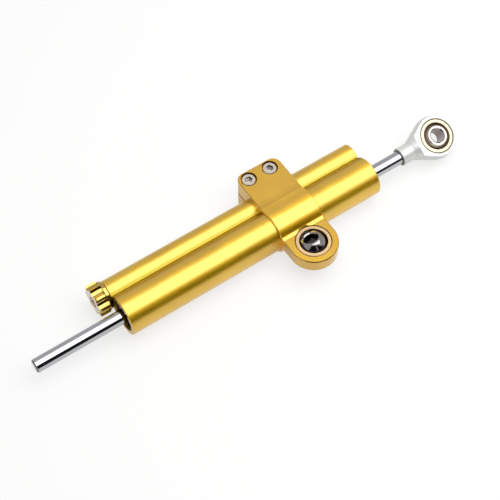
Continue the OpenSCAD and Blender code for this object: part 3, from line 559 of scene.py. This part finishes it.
def makeRoom(look):
    # pale room with one dark opening low on the near side, which draws the metal's dark bands
    world = bpy.data.worlds.new("StudioRoom")
    scene.world = world
    world.use_nodes = True
    tree = world.node_tree
    tree.nodes.clear()
    coords = addNode(tree, "ShaderNodeTexCoord")
    axes = addNode(tree, "ShaderNodeSeparateXYZ", {"Vector": coords.outputs["Generated"]})
    grey = addNode(tree, "ShaderNodeMapRange", {"Value": axes.outputs["Z"]},
                   {"From Min": look["ceilingHeights"][0], "From Max": look["ceilingHeights"][1],
                    "To Min": look["wall"], "To Max": look["ceiling"]})
    near = addNode(tree, "ShaderNodeMapRange", {"Value": axes.outputs["Y"]},
                   {"From Min": look["gapNear"][0], "From Max": look["gapNear"][1]},
                   interpolation_type="SMOOTHSTEP")
    leaned = addNode(tree, "ShaderNodeMath", {0: axes.outputs["X"], 2: axes.outputs["Z"]},
                     {1: look["gapLean"]}, operation="MULTIPLY_ADD")
    low = addNode(tree, "ShaderNodeMapRange", {"Value": leaned.outputs["Value"]},
                  {"From Min": look["gapTop"][0], "From Max": look["gapTop"][1]},
                  interpolation_type="SMOOTHSTEP")
    fromPillar = addNode(tree, "ShaderNodeMath", {0: axes.outputs["X"]}, {1: look["pillar"]},
                         operation="SUBTRACT")
    apart = addNode(tree, "ShaderNodeMath", {0: fromPillar.outputs["Value"]},
                    operation="ABSOLUTE")
    beside = addNode(tree, "ShaderNodeMapRange", {"Value": apart.outputs["Value"]},
                     {"From Min": look["pillarHalf"][0], "From Max": look["pillarHalf"][1],
                      "To Min": look["pillarGap"]}, interpolation_type="SMOOTHSTEP")
    opening = addNode(tree, "ShaderNodeMath",
                      {0: near.outputs["Result"], 1: beside.outputs["Result"]},
                      operation="MULTIPLY")
    gap = addNode(tree, "ShaderNodeMath", {0: opening.outputs["Value"], 1: low.outputs["Result"]},
                  operation="MULTIPLY")
    tone = addNode(tree, "ShaderNodeMix", {0: gap.outputs["Value"], 2: grey.outputs["Result"]},
                   {3: look["gap"]}, data_type="FLOAT")
    rays, lens = lensRays(tree)
    lit = addNode(tree, "ShaderNodeMix", {0: rays.outputs["Is Glossy Ray"]},
                  {2: look["fill"], 3: 1.0}, data_type="FLOAT")
    level = addNode(tree, "ShaderNodeMath", {0: tone.outputs[0], 1: lit.outputs[0]},
                    operation="MULTIPLY")
    seen = addNode(tree, "ShaderNodeMix", {0: lens, 2: level.outputs["Value"]}, {3: 1.0},
                   data_type="FLOAT")
    back = addNode(tree, "ShaderNodeBackground", {"Strength": seen.outputs[0]},
                   {"Color": (1, 1, 1, 1)})
    addNode(tree, "ShaderNodeOutputWorld", {"Surface": back.outputs["Background"]})


lampLook = {
    "size": (0.8, 0.65),             # m
    "aim": (0.2, 0.05, 0.0),         # m, the point it hangs over
    "distance": 0.6,                 # m
    "tilt": 13.4,                    # degrees toward the near side
    "yaw": -18.0,                    # degrees, so that its near edge runs away to the right
    "level": 2.45,                   # brightness of its face, where 1 is white paper
}


def makeLamp(look):
    width, depth = look["size"]
    data = bpy.data.lights.new("overheadSoftBox", "AREA")
    data.shape = "RECTANGLE"
    data.size, data.size_y = width, depth
    data.energy = look["level"] * math.pi * width * depth
    lamp = bpy.data.objects.new("overheadSoftBox", data)
    scene.collection.objects.link(lamp)
    tilt = math.radians(look["tilt"])
    aimX, aimY, aimZ = look["aim"]
    lamp.location = (aimX, aimY - math.sin(tilt) * look["distance"],
                     aimZ + math.cos(tilt) * look["distance"])
    lamp.rotation_euler = (tilt, 0, math.radians(look["yaw"]))
    lamp.visible_camera = False


makeFloor(floorLook)
makeRoom(roomLook)
makeLamp(lampLook)
print("floor, room and lamp made")


# camera, at the photograph's angle

view = {
    "place": (-0.24862, -0.30290, 0.61298),   # m, and then the camera's own three directions
    "right": (0.82648, -0.56296, 0.0),
    "up": (0.47601, 0.69882, 0.53391),
    "back": (-0.30057, -0.44127, 0.84554),
    "lens": 94.78,                            # mm, as the sensor
    "sensor": 36.0,
    "clip": (0.01, 20.0),                     # m
}

cameraData = bpy.data.cameras.new("lens")
cameraData.lens = view["lens"]
cameraData.sensor_width = view["sensor"]
cameraData.clip_start, cameraData.clip_end = view["clip"]
camera = bpy.data.objects.new("camera", cameraData)
scene.collection.objects.link(camera)
columns = (view["right"], view["up"], view["back"], view["place"])
rows = [[column[r] for column in columns] for r in range(3)]
camera.matrix_world = Matrix(rows + [[0, 0, 0, 1]])
scene.camera = camera
print("camera set")
